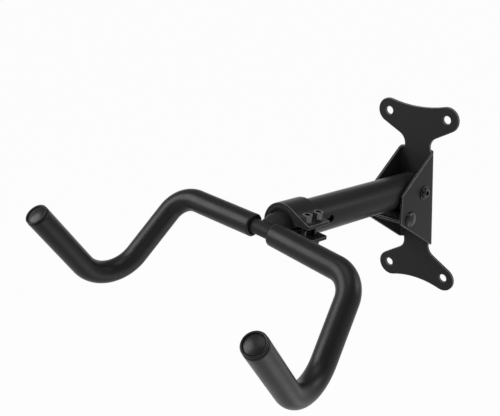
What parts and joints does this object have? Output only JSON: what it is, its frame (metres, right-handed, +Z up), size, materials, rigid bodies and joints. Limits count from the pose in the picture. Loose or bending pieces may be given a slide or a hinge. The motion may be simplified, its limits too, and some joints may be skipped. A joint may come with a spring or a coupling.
{
  "type": "bicycle wall rack",
  "caption": "Folding wall rack that carries a bicycle by its top tube: a sheet-steel bracket, a hinged arm tube and a foam-covered hook fork held at an angle by a split clamp.",
  "frame": {"origin": "on the bracket's back face, at the centre of its four wall holes", "axes": "+X right along the wall, +Y into the wall, +Z up; the arm points along -Y and 8 degrees up"},
  "size_m": [0.3313, 0.4673, 0.2436],
  "materials": {
    "powder_coat": "satin black powder coat",
    "black_zinc": "black zinc plated steel",
    "nylon": "black nylon",
    "rubber": "matte black rubber",
    "foam": "matte black closed-cell foam",
    "plastic": "satin black moulded plastic"
  },
  "bodies": {
    "bracket": {"wall_bracket": "powder_coat", "bracket_brace": "powder_coat", "pivot_bolt": "black_zinc", "pivot_nut": "black_zinc", "pivot_washer_left": "nylon", "pivot_washer_right": "nylon", "rest_bolt": "black_zinc", "rest_nut": "black_zinc", "rest_bumper": "rubber"},
    "arm": {"arm_tube": "powder_coat", "pivot_sleeve": "black_zinc", "swivel_bush": "nylon", "clamp_band": "powder_coat", "clamp_bolt_front": "black_zinc", "clamp_bolt_rear": "black_zinc", "clamp_washer_front": "black_zinc", "clamp_washer_rear": "black_zinc", "clamp_nut_front": "black_zinc", "clamp_nut_rear": "black_zinc"},
    "hook": {"hook_bar": "powder_coat", "hook_stub": "powder_coat", "foam_left": "foam", "foam_right": "foam", "end_cap_left": "plastic", "end_cap_right": "plastic"}
  },
  "joints": [
    {"name": "arm_fold", "type": "hinge", "parent": "bracket", "child": "arm", "pos_m": [0, -0.02424, 0.01565], "axis": [-1, 0, 0], "range_deg": [0, 82]},
    {"name": "hook_tilt", "type": "hinge", "parent": "arm", "child": "hook", "pos_m": [0, -0.2823, 0.05192], "axis": [0, -0.9903, 0.1392], "range_deg": [-38.43, 51.57]}
  ]
}
